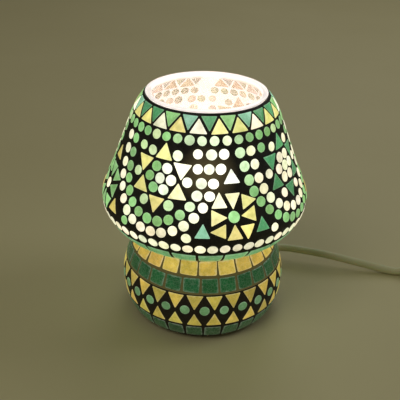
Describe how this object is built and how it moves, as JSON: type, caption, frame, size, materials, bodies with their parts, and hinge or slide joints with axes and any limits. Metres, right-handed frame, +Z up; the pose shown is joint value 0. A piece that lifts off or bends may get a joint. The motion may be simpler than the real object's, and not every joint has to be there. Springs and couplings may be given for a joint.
{
  "type": "mosaic glass table lamp",
  "caption": "Table lamp: a waisted blown glass vessel skinned with mosaic tiles in dark grout, bulb and holder inside, cord with in-line rocker switch and two-pin plug.",
  "frame": {"origin": "centre of the foot, on the surface that the lamp stands on", "axes": "+Z up along the vessel's axis; -Y towards the front of the pattern; the cord leaves at the rear right, 45 degrees from +X towards +Y"},
  "size_m": [0.4538, 0.1398, 0.1616],
  "materials": {
    "crown_band": "yellow and teal art glass in black grout",
    "collar_band": "light green crackle glass in black grout",
    "star_field": "green, cream, yellow and teal art glass in black grout",
    "edge_band": "cream crackle glass in black grout",
    "underside_band": "green art glass in black grout",
    "neck_band": "gold art glass in black grout",
    "shoulder_band": "dark green art glass in black grout",
    "belly_band": "mustard and sage art glass in black grout",
    "foot_band": "dark green art glass in black grout",
    "clear_glass": "clear blown glass",
    "felt": "felt",
    "strap": "hook-and-loop tape",
    "steel": "zinc plated",
    "brass": "plain",
    "gasket_rubber": "matt",
    "holder_plastic": "glossy",
    "porcelain": "glazed",
    "bulb_glass": "clear blown glass, lit",
    "nickel": "nickel plated",
    "black_glass": "black glass",
    "solder": "tinned",
    "filament": "glowing tungsten",
    "white_plastic": "satin",
    "switch_key_plastic": "glossy",
    "cord_pvc": "smooth PVC"
  },
  "bodies": {
    "lamp": {"glass_body": "clear_glass", "crown_band": "crown_band", "collar_band": "collar_band", "star_field": "star_field", "edge_band": "edge_band", "underside_band": "underside_band", "neck_band": "neck_band", "shoulder_band": "shoulder_band", "belly_band": "belly_band", "foot_band": "foot_band", "foot_pad": "felt", "lower_nut": "steel", "lower_washer": "steel", "nipple": "brass", "gasket": "gasket_rubber", "upper_washer": "steel", "upper_nut": "steel", "lock_nut": "steel", "holder_cap": "holder_plastic", "holder_skirt": "holder_plastic", "holder_core": "porcelain", "thread_shell": "brass", "centre_contact": "brass", "terminal_screw_left": "steel", "terminal_screw_right": "steel", "strain_relief": "white_plastic", "internal_lead": "cord_pvc", "cord_lamp_side": "cord_pvc", "switch_base": "white_plastic", "switch_screw_front": "steel", "switch_screw_back": "steel", "switch_cover": "white_plastic", "cord_switch_side": "cord_pvc", "cord_coil": "cord_pvc", "cord_tie": "strap", "cord_plug_side": "cord_pvc", "plug_body": "white_plastic", "plug_pin_left": "nickel", "plug_pin_right": "nickel"},
    "bulb": {"bulb_envelope": "bulb_glass", "bulb_screw_cap": "nickel", "bulb_insulator": "black_glass", "bulb_contact": "solder", "bulb_stem": "bulb_glass", "bulb_filament": "filament"},
    "rocker": {"switch_rocker": "switch_key_plastic"}
  },
  "joints": [
    {"name": "bulb_lift", "type": "slide", "parent": "lamp", "child": "bulb", "axis": [0, 0, 1], "range_m": [0, 0.125]},
    {"name": "switch_rock", "type": "hinge", "parent": "lamp", "child": "rocker", "pos_m": [0.209, 0.0325, 0.0132], "axis": [0, -1, 0], "range_deg": [0, 16]}
  ]
}
